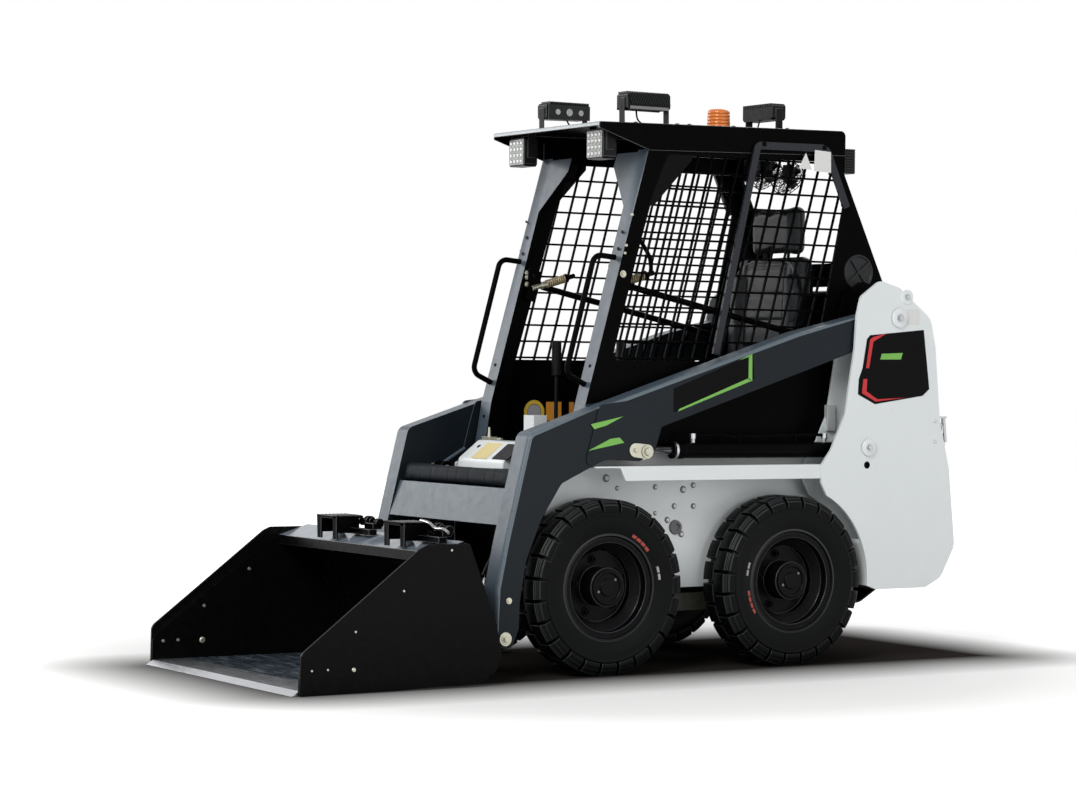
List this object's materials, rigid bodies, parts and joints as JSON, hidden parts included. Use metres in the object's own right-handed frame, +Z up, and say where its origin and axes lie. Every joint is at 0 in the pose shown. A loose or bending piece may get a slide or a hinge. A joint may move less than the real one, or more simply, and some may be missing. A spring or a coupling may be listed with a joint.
{
  "type": "skid steer loader",
  "caption": "Compact electric skid steer loader with a mesh-sided cab, lifting arms that pivot on rear towers, and a smooth-edged bucket that rests on the ground.",
  "frame": {"origin": "on the ground, below the middle of the whole machine with its bucket down", "axes": "-Y forward, +Y rearward, +X to the machine's left, +Z up"},
  "size_m": [1.098, 2.6733, 1.9574],
  "materials": {
    "rubber": "matt",
    "rim_black": "satin",
    "slate_paint": "satin",
    "white_paint": "gloss",
    "black_paint": "gloss",
    "steel": "worn",
    "zinc": "yellow zinc",
    "black_plastic": "matt",
    "vinyl": "vinyl",
    "pad_vinyl": "vinyl",
    "roof_paint": "satin"
  },
  "bodies": {
    "chassis": {"axle_stubs": "black_paint", "battery_pack": "black_plastic", "belly_pan": "black_paint", "cab_fan": "black_plastic", "cab_floor": "black_paint", "cab_rear_wall": "black_paint", "cab_roof": "roof_paint", "cab_side_left": "slate_paint", "cab_side_right": "slate_paint", "chassis_sides": "white_paint", "control_levers": "black_plastic", "front_cover": "white_paint", "grab_rails": "black_paint", "lamps": "black_plastic", "rear_counterweight": "black_paint", "rear_cover": "white_paint", "restraint_bars": "black_paint", "seat": "vinyl", "side_frames": "slate_paint", "side_meshes": "black_paint", "sills": "white_paint", "tower_inner_plates": "white_paint", "tower_outer_plates": "white_paint", "tower_pins": "zinc", "tower_rear_strips": "white_paint"},
    "boom": {"arm_left": "slate_paint", "arm_right": "slate_paint", "boom_cross_plate": "slate_paint", "boom_pad": "pad_vinyl", "boom_pins": "zinc", "tilt_barrels": "slate_paint"},
    "lift_barrel_pair": {"lift_barrels": "slate_paint"},
    "lift_rod_pair": {"lift_rods": "steel"},
    "tilt_rod_pair": {"tilt_rods": "steel"},
    "bucket": {"coupler": "black_paint", "bucket_shell": "black_paint", "bucket_sides": "black_paint", "cutting_edge": "steel"},
    "door": {"rear_door": "white_paint"},
    "wheel_front_left": {"front_left_tyre": "rubber", "front_left_rim": "rim_black"},
    "wheel_front_right": {"front_right_tyre": "rubber", "front_right_rim": "rim_black"},
    "wheel_rear_left": {"rear_left_tyre": "rubber", "rear_left_rim": "rim_black"},
    "wheel_rear_right": {"rear_right_tyre": "rubber", "rear_right_rim": "rim_black"}
  },
  "joints": [
    {"name": "wheel_front_left_turn", "type": "hinge", "parent": "chassis", "child": "wheel_front_left", "pos_m": [0, -0.1306, 0.2915], "axis": [1, 0, 0], "continuous": true},
    {"name": "wheel_front_right_turn", "type": "hinge", "parent": "chassis", "child": "wheel_front_right", "pos_m": [0, -0.1306, 0.2915], "axis": [1, 0, 0], "continuous": true},
    {"name": "wheel_rear_left_turn", "type": "hinge", "parent": "chassis", "child": "wheel_rear_left", "pos_m": [0, 0.6224, 0.2915], "axis": [1, 0, 0], "continuous": true},
    {"name": "wheel_rear_right_turn", "type": "hinge", "parent": "chassis", "child": "wheel_rear_right", "pos_m": [0, 0.6224, 0.2915], "axis": [1, 0, 0], "continuous": true},
    {"name": "boom_lift", "type": "hinge", "parent": "chassis", "child": "boom", "pos_m": [0, 1.0734, 1.2], "axis": [-1, 0, 0], "range_deg": [0, 62]},
    {"name": "lift_barrel_swing", "type": "hinge", "parent": "chassis", "child": "lift_barrel_pair", "pos_m": [0, 0.9434, 0.738], "axis": [-1, 0, 0], "range_deg": [0, 56.8]},
    {"name": "lift_rod_slide", "type": "slide", "parent": "lift_barrel_pair", "child": "lift_rod_pair", "axis": [0, -1, 0.0033], "range_m": [0, 0.4837]},
    {"name": "bucket_tilt", "type": "hinge", "parent": "boom", "child": "bucket", "pos_m": [0, -0.5186, 0.136], "axis": [1, 0, 0], "range_deg": [-26, 105]},
    {"name": "tilt_rod_slide", "type": "slide", "parent": "boom", "child": "tilt_rod_pair", "axis": [0, -0.4454, -0.8953], "range_m": [-0.0461, 0.1833]},
    {"name": "rear_door_hinge", "type": "hinge", "parent": "chassis", "child": "door", "pos_m": [-0.343, 1.2424, 0.7], "axis": [0, 0, 1], "range_deg": [0, 100]}
  ],
  "couplings": [
    {"joint": "lift_barrel_swing", "follows": "boom_lift", "ratio": 0.91292},
    {"joint": "lift_rod_slide", "follows": "boom_lift", "m_per_rad": 0.44606},
    {"joint": "tilt_rod_slide", "follows": "bucket_tilt", "m_per_rad": 0.099469}
  ]
}
